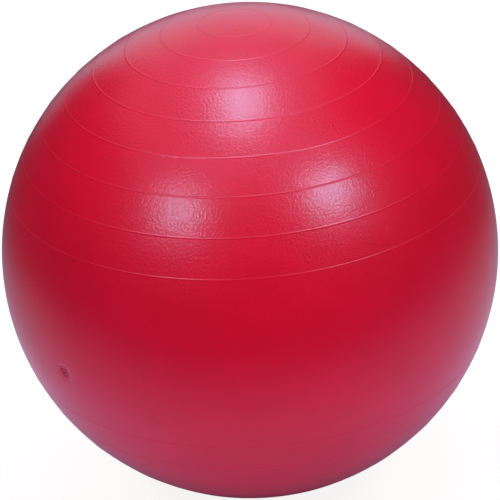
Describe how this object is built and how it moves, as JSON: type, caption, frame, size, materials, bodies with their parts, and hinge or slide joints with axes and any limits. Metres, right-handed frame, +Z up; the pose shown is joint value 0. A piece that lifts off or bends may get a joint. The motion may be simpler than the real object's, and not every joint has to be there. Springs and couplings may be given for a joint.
{
  "type": "exercise ball",
  "caption": "Inflated round exercise ball with raised grip rings above and below a plain middle band, and a push-in valve plug flush with the skin.",
  "frame": {"origin": "on the floor, in the middle of the flat patch that the inflated ball rests on", "axes": "+Z up, along the axis that the grip rings run round; -Y is the front, and the valve is 48.75 degrees from it towards -X"},
  "size_m": [0.65, 0.65, 0.648],
  "materials": {
    "skin_pvc": "satin",
    "seat_pvc": "satin",
    "plug_pvc": "satin"
  },
  "bodies": {
    "ball": {"ball_skin": "skin_pvc", "valve_seat": "seat_pvc"},
    "plug": {"valve_plug": "plug_pvc"}
  },
  "joints": [
    {"name": "valve_plug_pull", "type": "slide", "parent": "ball", "child": "plug", "axis": [-0.7447, -0.6531, -0.1374], "range_m": [0, 0.035]}
  ]
}
